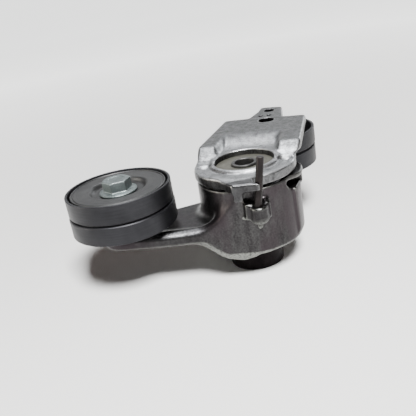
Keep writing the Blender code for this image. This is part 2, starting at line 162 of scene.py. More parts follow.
def lathe(name, profile, segments=128, edge=0.3):
    """Closed (radius, height) outline in millimetres, spun about Z."""
    shape = bmesh.new()
    rings = []
    for radius, height in softened(profile, edge):
        count = segments if radius > 1e-6 else 1
        angles = [2 * math.pi * step / segments for step in range(count)]
        ring = [Vector((radius * math.cos(a), radius * math.sin(a), height)) for a in angles]
        rings.append([shape.verts.new(point * MM) for point in ring])
    for first, second in zip(rings, rings[1:] + rings[:1]):
        for step in range(segments):
            after = (step + 1) % segments
            corners = [
                first[step % len(first)], first[after % len(first)],
                second[after % len(second)], second[step % len(second)],
            ]
            corners = list(dict.fromkeys(corners))
            if len(corners) > 2:
                shape.faces.new(corners)
    bmesh.ops.recalc_face_normals(shape, faces=shape.faces)
    mesh = bpy.data.meshes.new(name)
    shape.to_mesh(mesh)
    shape.free()
    return mesh


def ring_profile(inner, outer, low, high):
    """Outline of a plain ring."""
    return [(inner, low), (outer, low), (outer, high), (inner, high)]


# Solids as distance fields on a grid, in millimetres, meshed where the field crosses zero.

def grid(low, high, step):
    """Three open axes that span a box."""
    axes = [np.arange(a, b + step, step, dtype=np.float32) for a, b in zip(low, high)]
    return axes[0][:, None, None], axes[1][None, :, None], axes[2][None, None, :]


def join(first, second, width):
    """Smooth union with a fillet of about the given width."""
    share = np.clip(0.5 + 0.5 * (second - first) / width, 0, 1)
    return second + (first - second) * share - width * share * (1 - share)


def common(*fields):
    """Sharp intersection of solids."""
    result = fields[0]
    for field in fields[1:]:
        result = np.maximum(result, field)
    return result


def ramp(start, end, value):
    """Smooth step from 0 at start to 1 at end."""
    t = np.clip((value - start) / (end - start), 0, 1)
    return t * t * (3 - 2 * t)


def box_field(x, y, z, low, high):
    """Box between two corners."""
    return common(low[0] - x, x - high[0], low[1] - y, y - high[1], low[2] - z, z - high[2])


def polygon_field(x, y, corners):
    """Signed distance to a closed polygon in the plane."""
    nearest = np.full(np.broadcast(x, y).shape, 1e9, np.float32)
    inside = np.zeros(nearest.shape, bool)
    for (x0, y0), (x1, y1) in zip(corners, corners[1:] + corners[:1]):
        edge_x, edge_y = x1 - x0, y1 - y0
        along = ((x - x0) * edge_x + (y - y0) * edge_y) / (edge_x ** 2 + edge_y ** 2)
        along = np.clip(along, 0, 1)
        gap = (x - x0 - edge_x * along) ** 2 + (y - y0 - edge_y * along) ** 2
        nearest = np.minimum(nearest, gap)
        if abs(edge_y) > 1e-6:
            spans = (y0 > y) != (y1 > y)
            inside ^= spans & (x < edge_x * (y - y0) / edge_y + x0)
    return np.sqrt(nearest) * np.where(inside, -1, 1)


def blurred(field, passes):
    """Rounds a solid's edges by averaging its field with its neighbours."""
    for _ in range(passes):
        for axis in range(field.ndim):
            if field.shape[axis] < 3:
                continue
            shifted = np.moveaxis(field, axis, 0)
            middle = shifted[1:-1] * 0.5 + (shifted[:-2] + shifted[2:]) * 0.25
            shifted[1:-1] = middle
    return field


def field_mesh(name, field, low, step):
    """Surface net of a field: one vertex in each cell that the surface crosses."""
    field = np.array(field, np.float32)
    for axis in range(3):
        edge = np.moveaxis(field, axis, 0)
        edge[0] = np.maximum(edge[0], 0.01)
        edge[-1] = np.maximum(edge[-1], 0.01)
    field[np.abs(field) < 1e-4] = 1e-4
    inside = field < 0
    cells = np.array(field.shape) - 1
    rings, places = [], []
    for axis in range(3):
        near = tuple(slice(0, -1) if a == axis else slice(None) for a in range(3))
        far = tuple(slice(1, None) if a == axis else slice(None) for a in range(3))
        crossed = np.nonzero(inside[near] != inside[far])
        index = np.stack(crossed, 1)
        start, end = field[near][crossed], field[far][crossed]
        place = index.astype(np.float64)
        place[:, axis] += start / (start - end)
        side, up = (axis + 1) % 3, (axis + 2) % 3
        corners = []
        for back_side, back_up in ((0, 0), (1, 0), (1, 1), (0, 1)):
            cell = index.copy()
            cell[:, side] -= back_side
            cell[:, up] -= back_up
            corners.append(np.ravel_multi_index(cell.T, cells))
        ring = np.stack(corners, 1)
        outward = inside[near][crossed]
        ring[~outward] = ring[~outward][:, ::-1]
        rings.append(ring)
        places.append(np.repeat(place, 4, axis=0).reshape(-1, 4, 3))
    rings, places = np.concatenate(rings), np.concatenate(places)
    used, numbers = np.unique(rings, return_inverse=True)
    numbers = numbers.reshape(-1)
    flat = places.reshape(-1, 3)
    share = np.bincount(numbers)
    centre = np.stack([np.bincount(numbers, flat[:, a]) / share for a in range(3)], 1)
    points = (centre * step + np.array(low)) * MM
    mesh = bpy.data.meshes.new(name)
    mesh.from_pydata(points.tolist(), [], numbers.reshape(-1, 4).tolist())
    mesh.update()
    return mesh


def add_shares(mesh, **shares):
    """Stores named shares at each vertex, worked out from its place in millimetres."""
    places = np.empty(len(mesh.vertices) * 3, dtype=np.float32)
    mesh.vertices.foreach_get("co", places)
    x, y, z = places.reshape(-1, 3).T / MM
    for name, share in shares.items():
        layer = mesh.attributes.new(name, 'FLOAT', 'POINT')
        layer.data.foreach_set("value", share(x, y, z).astype(np.float32))


def closed_mesh(name, verts, faces):
    """Mesh from points and faces, with its faces turned outwards."""
    mesh = bpy.data.meshes.new(name)
    mesh.from_pydata(verts, [], faces)
    shape = bmesh.new()
    shape.from_mesh(mesh)
    bmesh.ops.recalc_face_normals(shape, faces=shape.faces)
    shape.to_mesh(mesh)
    shape.free()
    return mesh


# ------------------------------------------------------------------ finishes

class Tree:
    """Short way to build a material's nodes."""

    def __init__(self, name):
        self.material = bpy.data.materials.new(name)
        self.material.use_nodes = True
        self.tree = self.material.node_tree
        self.shader = self.tree.nodes["Principled BSDF"]

    def node(self, kind, settings=None, **inputs):
        """New node with its settings and inputs, where a key such as i0 is an input's number."""
        made = self.tree.nodes.new(kind)
        for key, value in (settings or {}).items():
            setattr(made, key, value)
        for key, value in inputs.items():
            socket = made.inputs[int(key[1:])] if key[0] == "i" and key[1:].isdigit() else made.inputs[key]
            if isinstance(value, bpy.types.NodeSocket):
                self.tree.links.new(value, socket)
            else:
                socket.default_value = value
        return made

    def math(self, operation, first, second=0.0):
        """Result of one operation on two values."""
        return self.node("ShaderNodeMath", {"operation": operation}, i0=first, i1=second).outputs[0]

    def noise(self, vector, scale, detail=4.0, roughness=0.6):
        """Noise between 0 and 1."""
        made = self.node("ShaderNodeTexNoise", Vector=vector, Scale=scale, Detail=detail, Roughness=roughness)
        return made.outputs["Fac"]

    def span(self, value, from_low, from_high, to_low, to_high):
        """Value mapped from one range to another."""
        made = self.node("ShaderNodeMapRange", i0=value, i1=from_low, i2=from_high, i3=to_low, i4=to_high)
        return made.outputs[0]

    def mix(self, share, first, second):
        """Blend from the first colour to the second."""
        made = self.node("ShaderNodeMix", {"data_type": 'RGBA'})
        self.set(made.inputs[0], share)
        self.set(made.inputs[6], first)
        self.set(made.inputs[7], second)
        return made.outputs[2]

    def set(self, socket, value):
        """Links a socket, or fills it in."""
        if isinstance(value, bpy.types.NodeSocket):
            self.tree.links.new(value, socket)
        else:
            socket.default_value = value

    def coordinate(self, kind, axis):
        """One axis, 0 to 2, of a texture coordinate."""
        source = self.node("ShaderNodeTexCoord").outputs[kind]
        return self.node("ShaderNodeSeparateXYZ", Vector=source).outputs[axis]

    def share(self, name):
        """A share that the mesh stores at its vertices."""
        return self.node("ShaderNodeAttribute", {"attribute_name": name}).outputs["Fac"]

    def product(self, first, *others):
        """All the values multiplied."""
        for other in others:
            first = self.math("MULTIPLY", first, other)
        return first

    def wire(self, **sockets):
        """Sets the shader's inputs by name."""
        for key, value in sockets.items():
            self.set(self.shader.inputs[key.replace("_", " ")], value)


def colour(red, green, blue):
    """Opaque colour."""
    return (red, green, blue, 1.0)


def round_marks(tree, place, fineness):
    """Noise drawn out round the part's own Z axis, as a lathe leaves it."""
    axes = tree.node("ShaderNodeSeparateXYZ", Vector=place)
    across, deep, high = axes.outputs[0], axes.outputs[1], axes.outputs[2]
    square = tree.math("ADD", tree.math("MULTIPLY", across, across), tree.math("MULTIPLY", deep, deep))
    radius = tree.math("SQRT", square)
    turn = tree.math("MULTIPLY", tree.math("ARCTAN2", deep, across), 0.0006)
    vector = tree.node("ShaderNodeCombineXYZ", X=radius, Y=turn, Z=high).outputs[0]
    return tree.noise(vector, fineness, 3.0, 0.7)


def edges_worn_and_highlit(tree, base, roughness, broad, worn_and_highlit):
    """Bare, smoother metal on outer edges, in patches: partly real edge wear, partly a painted highlight
    along the edges.
    """
    tone, from_point, to_point = worn_and_highlit
    point = tree.node("ShaderNodeNewGeometry").outputs["Pointiness"]
    edge = tree.span(point, from_point, to_point, 0.0, 1.0)
    patchy = tree.product(edge, tree.span(broad, 0.35, 0.6, 0.35, 1.0))
    base = tree.mix(patchy, base, colour(*tone))
    return base, tree.math("SUBTRACT", roughness, tree.product(patchy, 0.1))


def painted_floor_reflection(tree, base, roughness, fine, tone):
    """Painted reflection of the lit floor: a pale, rough band on downward-facing faces where the arm's lower
    edge turns under, strongest at the cup's left.
    """
    downward = tree.span(tree.coordinate("Normal", 2), -0.10, -0.27, 0.0, 1.0)
    speckled = tree.span(fine, 0.38, 0.58, 0.25, 1.0)
    across = tree.coordinate("Object", 0)
    from_right = tree.span(across, 0.0, 0.03, 1.0, 0.3)
    from_left = tree.span(across, -0.06, -0.03, 0.2, 1.0)
    under = tree.product(downward, speckled, from_right, from_left)
    base = tree.mix(under, base, colour(*tone))
    return base, tree.math("ADD", roughness, tree.product(under, 0.2))


# Colour of the painted shade, mixed in where the mesh's painted-shade share is set.
PAINTED_SHADE_TONE = (0.012, 0.011, 0.012)


def finish(name, dark, light, rough, metallic, grain=900.0, blotch=55.0, bump=0.3, worn_and_highlit=None, marks=None,
           depth=0.00006, grainy=0.4, streaked=1.0, painted_reflection_tone=None, stained=None, with_painted_shade=False, painted_highlight_tone=None):
    """Mottled surface with grain in colour, roughness and bump, the wear and stains that are asked for, and
    any painted highlight, painted floor reflection and painted shade that are asked for.
    """
    tree = Tree(name)
    place = tree.node("ShaderNodeTexCoord").outputs["Object"]
    settings = {"operation": 'MULTIPLY'}
    stretched = tree.node("ShaderNodeVectorMath", settings, i0=place, i1=(1.0, 1.0, streaked)).outputs[0]
    broad = tree.noise(stretched, blotch, 5.0, 0.55)
    fine = tree.noise(place, grain, 4.0, 0.65)
    if marks:
        fine = round_marks(tree, place, marks)
    blend = tree.math("ADD", tree.product(broad, 1.0 - grainy), tree.product(fine, grainy))
    base = tree.mix(tree.span(blend, 0.36, 0.64, 0.0, 1.0), colour(*dark), colour(*light))
    if stained:
        patches = tree.span(tree.noise(stretched, 45.0, 3.0, 0.5), 0.48, 0.62, 0.0, 0.75)
        base = tree.mix(patches, base, colour(*stained))
    roughness = tree.span(blend, 0.3, 0.7, rough[1], rough[0])
    # Edges lightened: partly real wear, partly a painted highlight.
    if worn_and_highlit:
        base, roughness = edges_worn_and_highlit(tree, base, roughness, broad, worn_and_highlit)
    # Painted reflection of the lit floor on downward-facing faces.
    if painted_reflection_tone:
        base, roughness = painted_floor_reflection(tree, base, roughness, fine, painted_reflection_tone)
    # Painted highlight on upward-facing faces where the mesh's share is set.
    if painted_highlight_tone:
        upward = tree.span(tree.coordinate("Normal", 2), 0.3, 0.6, 0.0, 1.0)
        polish = tree.product(tree.share("polish"), upward, tree.span(blend, 0.4, 0.6, 0.3, 1.0))
        base = tree.mix(polish, base, colour(*painted_highlight_tone))
    # Painted shade where the mesh's share is set.
    if with_painted_shade:
        base = tree.mix(tree.share("grime"), base, colour(*PAINTED_SHADE_TONE))
    height = tree.math("ADD", tree.product(fine, 0.7), tree.product(broad, 0.3))
    relief = tree.node("ShaderNodeBump", Strength=bump, Distance=depth, Height=height)
    tree.wire(Base_Color=base, Roughness=roughness, Metallic=metallic, Normal=relief.outputs[0])
    return tree.material


CAST_WEAR = dict(grain=850.0, blotch=200.0, bump=0.7, grainy=0.5, depth=0.00013, streaked=0.3)
# Arm casting: painted floor reflection on the lower edge, painted shade on the lug and towards the pulley,
# painted highlight on the front top edge.
CAST_ARM = finish(
    "cast_aluminium_arm", (0.0175, 0.016, 0.017), (0.053, 0.052, 0.052), (0.28, 0.44), 1.0,
    worn_and_highlit=((0.27, 0.28, 0.26), 0.512, 0.58), painted_reflection_tone=(0.20, 0.205, 0.19), stained=(0.033, 0.026, 0.0295),
    with_painted_shade=True, painted_highlight_tone=(0.40, 0.405, 0.42), **CAST_WEAR,
)
# Bracket casting: painted shade in holes, the recess, the flange's side and the hook's front, and painted
# highlight on the flange's top and ring.
CAST_BRACKET = finish(
    "cast_aluminium_bracket", (0.045, 0.045, 0.046), (0.21, 0.213, 0.217), (0.26, 0.44), 1.0,
    worn_and_highlit=((0.50, 0.50, 0.50), 0.510, 0.58), with_painted_shade=True, painted_highlight_tone=(0.46, 0.465, 0.475), **CAST_WEAR,
)
RIM_STEEL = finish(
    "phosphated_rim", (0.009, 0.009, 0.0105), (0.022, 0.022, 0.025), (0.38, 0.52), 0.8,
    blotch=40.0, bump=0.25, marks=2500.0,
)
COVER_STEEL = finish(
    "pressed_cover", (0.031, 0.031, 0.032), (0.053, 0.053, 0.053), (0.38, 0.5), 0.9,
    blotch=60.0, bump=0.3, marks=1800.0,
)
ZINC = finish(
    "zinc_flake", (0.085, 0.101, 0.101), (0.15, 0.174, 0.174), (0.36, 0.52), 0.9,
    grain=1400.0, blotch=160.0, bump=0.4, worn_and_highlit=((0.6, 0.62, 0.62), 0.53, 0.62),
)
SEAT_STEEL = finish(
    "seat_steel", (0.055, 0.053, 0.043), (0.092, 0.090, 0.075), (0.42, 0.6), 0.75,
    blotch=120.0, bump=0.3, marks=1500.0,
)
BLACK_COAT = finish(
    "black_coating", (0.0035, 0.003, 0.0032), (0.011, 0.009, 0.0095), (0.5, 0.7), 1.0,
    blotch=70.0, bump=0.35,
)
TUBE_STEEL = finish(
    "dark_tube", (0.03, 0.03, 0.03), (0.08, 0.078, 0.075), (0.3, 0.45), 0.9,
    blotch=100.0, bump=0.2, marks=1800.0,
)
PIN_STEEL = finish(
    "pin_steel", (0.004, 0.003, 0.003), (0.012, 0.009, 0.009), (0.34, 0.5), 0.8,
    grain=1200.0, blotch=180.0, bump=0.3, worn_and_highlit=((0.35, 0.33, 0.32), 0.53, 0.64),
)
GROUND_STEEL = finish(
    "ground_steel", (0.42, 0.42, 0.43), (0.58, 0.58, 0.59), (0.14, 0.26), 1.0,
    blotch=80.0, bump=0.12, marks=3000.0,
)
SPRING_STEEL = finish(
    "spring_steel", (0.05, 0.05, 0.055), (0.13, 0.13, 0.135), (0.3, 0.5), 0.9, grain=1000.0, bump=0.3,
)
CAGE_BRASS = finish(
    "cage_brass", (0.42, 0.29, 0.11), (0.60, 0.45, 0.20), (0.28, 0.45), 1.0, grain=1100.0, bump=0.3,
)
RUBBER = finish(
    "seal_rubber", (0.010, 0.010, 0.010), (0.022, 0.022, 0.022), (0.55, 0.75), 0.0, grain=1300.0, bump=0.4,
)
BUSHING = finish(
    "bushing_plastic", (0.06, 0.05, 0.035), (0.11, 0.095, 0.07), (0.45, 0.6), 0.0, bump=0.3,
)
FRICTION = finish(
    "friction_nylon", (0.15, 0.13, 0.09), (0.24, 0.21, 0.15), (0.5, 0.68), 0.0, bump=0.4,
)


# ------------------------------------------------------------------ tensioner arm

ARM_LENGTH = -TENSION_AXIS.x
ARM_TIP_RADIUS = 18.5
ARM_ROOT_RADIUS = 36.5
DRAFT_SCALE = 0.95
ARM_ROUNDING = 4.5
RIB_THICKNESS = 5.0
PAD_BOTTOM = 39.5
PAD_RADIUS = 13.0
LUG_AXIS_Y = -43.0
LUG_RADIUS = 5.8


def arm_plan(x, y):
    """Distance to the arm's plan: two circles and their outer tangents."""
    lean = (ARM_ROOT_RADIUS - ARM_TIP_RADIUS) / ARM_LENGTH
    flat = math.sqrt(1 - lean * lean)
    side, along = np.abs(y), -x
    turned = -lean * side + flat * along
    root = np.hypot(side, along) - ARM_ROOT_RADIUS
    tip = np.hypot(side, along - ARM_LENGTH) - ARM_TIP_RADIUS
    wall = side * flat + along * lean - ARM_ROOT_RADIUS
    return np.where(turned < 0, root, np.where(turned > flat * ARM_LENGTH, tip, wall))


def cup_solid(x, y, z):
    """Tapered cup with a drafted foot, lowest at its front left."""
    radius = np.hypot(x, y)
    taper = (CUP_RADIUS_BOTTOM - CUP_RADIUS_TOP) / (CUP_TOP - CUP_BOTTOM)
    wall = radius - CUP_RADIUS_TOP - (CUP_TOP - z) * taper
    draft = (radius - CUP_RADIUS_BOTTOM + DRAFT_DEPTH - (z - CUP_BOTTOM) * DRAFT_SLOPE) * DRAFT_SCALE
    rise = (4.4 * ramp(-14.0, 0.0, x) + 1.2 * ramp(0.0, 14.0, x) - 2.6) * ramp(22.0, 30.0, radius)
    return common(wall, z - CUP_TOP, CUP_BOTTOM + rise - z, draft)


def arm_slab(x, y, z, plan):
    """Flat arm whose underside drops to the cup's foot and lifts towards the tip."""
    drop = 16.6 * ramp(-48.0, -17.0, x)
    lift = 6.5 * ramp(-74.0, -104.0, x)
    base = np.maximum(ARM_BOTTOM - drop, CUP_BOTTOM) + lift
    draft = (plan + DRAFT_DEPTH - (z - base) * DRAFT_SLOPE) * DRAFT_SCALE
    rounded = -join(-plan, ARM_TOP - z, ARM_ROUNDING)
    return common(rounded, base - z, draft, x + 4.0)


def front_rib(x, y, z, plan):
    """Wall along the front tangent, whose crest climbs to the cup's rim."""
    stations = [-60, -52, -45, -40, -36.7, -32.5, -28.7, -25.5, -22.6, -19.5, -16.5, -14, -12, -9]
    heights = [41, 41.4, 42.4, 43.3, 44.5, 46.6, 49.3, 52.3, 55.5, 58.8, 62.2, 65.0, 67.2, 68.2]
    crest = np.interp(x, stations, heights).astype(np.float32)
    slope = np.gradient(crest[:, 0, 0], x[:, 0, 0])[:, None, None]
    top = (z - crest) / np.sqrt(1 + slope ** 2)
    rounded = -join(-plan, -top, ARM_ROUNDING)
    return common(rounded, -(plan + RIB_THICKNESS), 34 - z, y, x + 7.0)


def lock_lug(x, y, z):
    """Post that takes the lock pin, with its web, left pad and right horn."""
    radius = np.hypot(x, y - LUG_AXIS_Y)
    tail = np.maximum(radius - 5.2 + (50.0 - z) * 0.9, 44.6 - z)
    post = common(radius - LUG_RADIUS, 48.3 - z, z - 60.0)
    post = np.minimum(post, np.maximum(tail, z - 52.0))
    web = box_field(x, y, z, (-4.6, -42.0, 48.6), (4.8, -33.0, 59.4))
    drop = np.sqrt((x - 0.6) ** 2 + (y + 38.6) ** 2 + ((z - 44.6) * 0.5) ** 2) - 1.9
    post = join(post, drop, 1.0)
    lug = join(post, web, 1.6)
    taper = (54.0 - z) * 0.35
    pad = box_field(x + np.maximum(taper, 0), y, z, (-9.0, -43.2, 50.5), (-3.0, -33.0, 61.9))
    lug = join(lug, pad, 1.2)
    horn_top = 61.6 - 0.3 * np.abs(x - 5.6)
    horn = common(4.3 - x, x - 8.2, -42.8 - y, y + 33.0, 49.5 - z, z - horn_top)
    return join(lug, horn, 1.0)


def stop_solid(x, y, z):
    """Stop on the cup's right side: lobe under the flange, bar beside the window, pad below."""
    angle = np.degrees(np.arctan2(y, x))
    radius = np.hypot(x, y)
    reach = 40.1 - 0.011 * np.maximum(np.abs(angle + 16.0) - 6.0, 0.0) ** 2
    lobe = common(radius - reach, 30.0 - radius, CUP_TOP - 2.8 - z, z - CUP_TOP - 0.8)
    bar = common(radius - 39.4, 30.0 - radius, 56.5 - z, z - 66.4, (np.abs(angle + 8.5) - 3.2) * 0.65)
    pad = common(radius - 37.7, 30.0 - radius, 25.0 - z, z - 59.2, (np.abs(angle + 18.0) - 20.0) * 0.65)
    return join(np.minimum(lobe, pad), bar, 0.8)


def arm_grime(x, y, z):
    """Painted shade share: the pin's lug and the arm away from the cup are painted darker."""
    lug = 0.5 * ramp(-37.3, -38.5, y) * ramp(12.0, 10.0, np.abs(x))
    return np.maximum(lug, 0.3 * ramp(-30.0, -45.0, x))


def arm_polish(x, y, z):
    """Painted highlight share: the arm's front top edge between the pulley and the cup."""
    front = -23.4 - 0.206 * (x + 68.5)
    stretch = ramp(-86.0, -74.0, x) * ramp(-34.0, -44.0, x)
    return 0.42 * stretch * ramp(4.5, 2.5, y - front) * ramp(38.0, 39.5, z)


def build_arm():
    """Cup, arm, rib, pad, lug and stop in one casting, hollowed and machined."""
    step = 0.78
    low, high = (-118.5, -51.0, 15.5), (44.0, 40.0, 73.0)
    x, y, z = grid(low, high, step)
    plan = arm_plan(x, y)
    cup = cup_solid(x, y, z)
    inner = ramp(0.5, 5.0, -plan)
    body = join(arm_slab(x, y, z, plan), cup, 0.8 + 8.5 * inner * ramp(32.0, 40.0, z))
    body = join(body, front_rib(x, y, z, plan), 0.8 + 6.5 * ramp(0.5, 4.5, -plan))
    pad_radius = np.hypot(x + ARM_LENGTH, y)
    pad = common(pad_radius - PAD_RADIUS - (PAD_TOP - z) * 0.3, z - PAD_TOP - 1.5, PAD_BOTTOM - z)
    body = join(body, pad, 4.5)
    body = join(body, lock_lug(x, y, z), 2.2)
    body = join(body, stop_solid(x, y, z), 0.8)
    radius = np.hypot(x, y)
    cavity = common(radius - CUP_INSIDE, CUP_FLOOR - z)
    hub = common(radius - HUB_RADIUS, z - HUB_TOP, CUP_BOTTOM - z)
    body = np.maximum(body, -cavity)
    body = join(body, hub, 2.0)
    angle = np.degrees(np.arctan2(y, x))
    sill = np.maximum(59.3 - z, (59.3 - z - (angle + 42.0) * 0.75) * 0.8)
    window = common((np.abs(angle + 30.5) - 17.5) * 0.6, 28.0 - radius, sill, z - CUP_TOP + 2.9)
    body = np.maximum(body, -window)
    body = blurred(body, 2)
    body = np.maximum(body, z - np.where(x > -60.0, CUP_TOP + 0.5, PAD_TOP))
    body = np.maximum(body, HUB_BORE - radius)
    body = np.maximum(body, BOLT_HOLE - pad_radius)
    pin_x = PIN_FOOT.x + (z - PIN_FOOT.z) * math.tan(PIN_LEAN)
    pin_bore = common(np.hypot(x - pin_x, y - PIN_FOOT.y) - PIN_HOLE, 49.6 - z)
    body = np.maximum(body, -pin_bore)
    mesh = field_mesh("arm_casting", body, low, step)
    # Painted shade and painted highlight shares for the arm.
    add_shares(mesh, grime=arm_grime, polish=arm_polish)
    return piece("arm_casting", mesh, CAST_ARM, "arm", ["tensioner_arm"])


# ------------------------------------------------------------------ bracket

# Across, along, radius, floor and painted-shade radius of the plate's hole and its two dimples.
PLATE_HOLES = [
    (6.7, 108.4, 4.2, 0.0, 4.8), (1.4, 91.4, 1.8, 82.7, 2.6), (8.4, 92.1, 1.8, 82.7, 2.6),
]
FACE_HOLLOWS = [(-28.8, 3.0), (27.6, -9.6)]
HOLLOW_HEIGHT = 78.9
HOLLOW_RADIUS = 4.2
GUTTER_RADIUS = 26.4
GUTTER_HEIGHT = 78.3
SLEEVE_RADIUS = 13.5


def plate_axes(x, y):
    """Position across and along the plate, which is turned about the pivot."""
    across = x * math.cos(PLATE_TURN) + y * math.sin(PLATE_TURN)
    along = -x * math.sin(PLATE_TURN) + y * math.cos(PLATE_TURN)
    return across, along


def build_bracket():
    """Flange, plate, ring and hook in one casting, with its recess and holes."""
    step = 0.6
    low, high = (-41.5, -52.5, 57.5), (78.0, 127.0, 88.0)
    x, y, z = grid(low, high, step)
    across, along = plate_axes(x, y)
    radius = np.hypot(x, y)
    outline = blurred(polygon_field(across, along, PLATE_OUTLINE), 6)
    scoop = RING_TOP + (PLATE_TOP - RING_TOP) * ramp(22.5, 48.0, along)
    shoulder = FLANGE_TOP + (PLATE_TOP - FLANGE_TOP) * ramp(2.5, 19.5, along)
    beside = ramp(19.0, 24.5, np.abs(across))
    top = scoop * (1 - beside) + shoulder * beside
    plate = common(outline, z - top, PLATE_BOTTOM - z)
    neck = common(outline, radius - FLANGE_RADIUS, z - top, FLANGE_BOTTOM - z)
    flange = common(radius - FLANGE_RADIUS, z - FLANGE_TOP, FLANGE_BOTTOM - z)
    body = join(flange, plate, 2.5)
    body = np.minimum(body, neck)
    ring = common(radius - RING_RADIUS, z - RING_TOP, FLANGE_BOTTOM - z)
    body = join(body, ring, 1.6)
    body = join(body, hook(x, y, z), 2.4)
    for spot_x, spot_y in FACE_HOLLOWS:
        square = ((x - spot_x) * 0.68) ** 2 + (y - spot_y) ** 2 + ((z - HOLLOW_HEIGHT) * 1.1) ** 2
        body = -join(-body, np.sqrt(square) - HOLLOW_RADIUS, 0.8)
    gutter = np.hypot(radius - GUTTER_RADIUS, (z - GUTTER_HEIGHT) * 0.9) - 1.25
    gutter = np.maximum(gutter, along - 2.0)
    body = -join(-body, gutter, 1.2)
    body = blurred(body, 4)
    sleeve = common(radius - SLEEVE_RADIUS, 60.0 - z, z - FLANGE_BOTTOM - 1.0)
    body = join(body, sleeve, 1.5)
    recess = common(radius - RECESS_RADIUS, RECESS_FLOOR - z)
    body = np.maximum(body, -recess)
    body = np.maximum(body, TUBE_HOLE - radius)
    body = np.maximum(body, BOLT_HOLE - np.hypot(x - IDLER_AXIS.x, y - IDLER_AXIS.y))
    for spot_across, spot_along, size, floor, _ in PLATE_HOLES:
        hole = np.hypot(across - spot_across, along - spot_along) - size
        body = np.maximum(body, -common(hole, floor - z))
    mesh = field_mesh("bracket_casting", body, low, step)
    # Painted shade and painted highlight shares for the bracket.
    add_shares(mesh, grime=bracket_grime, polish=bracket_polish)
    return piece("bracket_casting", mesh, CAST_BRACKET, "bracket", ["bracket_plate"])


def bracket_grime(x, y, z):
    """Painted shade share: hole walls, the recess's wall, the flange's side and the hook's front are painted
    darker.
    """
    across, along = plate_axes(x, y)
    radius = np.hypot(x, y)
    grime = np.zeros_like(x)
    grime[(radius < RECESS_RADIUS + 0.5) & (z < RING_TOP - 0.6)] = 0.6
    grime[(radius > FLANGE_RADIUS - 0.6) & (z < FLANGE_TOP - 0.8)] = 0.3
    grime = np.maximum(grime, 0.78 * ramp(-36.5, -38.5, y) * ramp(6.0, 2.0, x))
    grime[np.hypot(x - IDLER_AXIS.x, y - IDLER_AXIS.y) < BOLT_HOLE + 0.4] = 1.0
    # Painted shade inside the plate's hole and its dimples.
    for spot_across, spot_along, _, _, dark in PLATE_HOLES:
        grime[np.hypot(across - spot_across, along - spot_along) < dark] = 1.0
    return grime


def bracket_polish(x, y, z):
    """Painted highlight share: the flange's top and the ring, fading out up the scoop."""
    return 0.6 * ramp(83.0, 79.0, z)


def hook(x, y, z):
    """Hook that the lock pin bears on, open towards +X, with its leg."""
    arm = polygon_field(x, y, [
        (-27, -20), (-22.5, -30), (-19.5, -36.5), (-17.2, -41.5), (-15.7, -44.1), (2.4, -48.8),
        (2.4, -46.7), (-0.9, -45.9), (-0.9, -33.0), (-5.0, -22.0),
    ])
    leg = polygon_field(x, y, [(-15.9, -44.0), (-9.2, -45.8), (-9.2, -40.2), (-14.6, -38.9)])
    bar = common(arm, 71.3 - z, z - FLANGE_TOP)
    return join(bar, common(leg, 64.7 - z, z - 75.0), 1.2)


# ------------------------------------------------------------------ pivot pieces

BUSHING_RADIUS = 11.5


def spun(name, profile, material, body, node, segments=128, edge=0.3):
    """Piece that is turned about the pivot."""
    piece(name, lathe(name, profile, segments, edge), material, body, [node])


def build_pivot():
    """Foot, tube, seat disc and the two bushings that the arm turns on."""
    foot = [
        (TUBE_HOLE, 0), (FOOT_RADIUS - 0.5, 0), (FOOT_RADIUS, 0.6), (FOOT_RADIUS, FOOT_TOP),
        (TUBE_HOLE, FOOT_TOP),
    ]
    tube = ring_profile(TUBE_BORE, TUBE_RADIUS, 0.2, TUBE_TOP)
    disc = ring_profile(TUBE_HOLE, RECESS_RADIUS - 0.3, RECESS_FLOOR + 0.3, RECESS_FLOOR + 2.3)
    lower = ring_profile(TUBE_HOLE, BUSHING_RADIUS, CUP_BOTTOM + 0.3, 35.0)
    upper = [
        (TUBE_HOLE, 39.0), (BUSHING_RADIUS, 39.0), (BUSHING_RADIUS, HUB_TOP + 0.3),
        (HUB_RADIUS, HUB_TOP + 0.3), (HUB_RADIUS, 58.2), (TUBE_HOLE, 58.2),
    ]
    spun("mounting_foot_turned", foot, BLACK_COAT, "bracket", "mounting_foot", edge=0.6)
    spun("pivot_tube_turned", tube, TUBE_STEEL, "bracket", "pivot_tube", 96, 0.5)
    spun("seat_disc_turned", disc, SEAT_STEEL, "bracket", "seat_disc", edge=0.5)
    spun("lower_bushing_moulded", lower, BUSHING, "arm", "lower_bushing", 96)
    spun("upper_bushing_moulded", upper, BUSHING, "arm", "upper_bushing", 96)


def build_spring():
    """Coil of round wire with ground ends."""
    wire, coil, low, pitch, turns = 2.6, 22.6, 28.0, 7.2, 5.0
    sides, steps = 16, 60
    count = int(turns * steps) + 1
    verts, faces = [], []
    for step in range(count):
        angle = 2 * math.pi * step / steps
        outward = Vector((math.cos(angle), math.sin(angle), 0))
        centre = outward * coil + Vector((0, 0, low + pitch * step / steps))
        for side in range(sides):
            turn = 2 * math.pi * side / sides
            offset = outward * wire * math.cos(turn) + Vector((0, 0, wire * math.sin(turn)))
            verts.append((centre + offset) * MM)
    for step in range(count - 1):
        for side in range(sides):
            after = (side + 1) % sides
            near, far = step * sides, (step + 1) * sides
            faces.append((near + side, near + after, far + after, far + side))
    faces.append(tuple(range(sides)))
    faces.append(tuple(reversed(range((count - 1) * sides, count * sides))))
    mesh = closed_mesh("torsion_spring_wound", verts, faces)
    piece("torsion_spring_wound", mesh, SPRING_STEEL, "bracket", ["torsion_spring"], sharp=50)


def build_pin():
    """Plain pin that leans in the lug."""
    pin = [(0, 0), (PIN_RADIUS, 0), (PIN_RADIUS, PIN_LENGTH), (0, PIN_LENGTH)]
    mesh = lathe("lock_pin_turned", pin, 64, 0.6)
    mesh.transform(Matrix.Translation(PIN_FOOT * MM) @ Matrix.Rotation(PIN_LEAN, 4, 'Y'))
    piece("lock_pin_turned", mesh, PIN_STEEL, "lock_pin", ["lock_pin"])


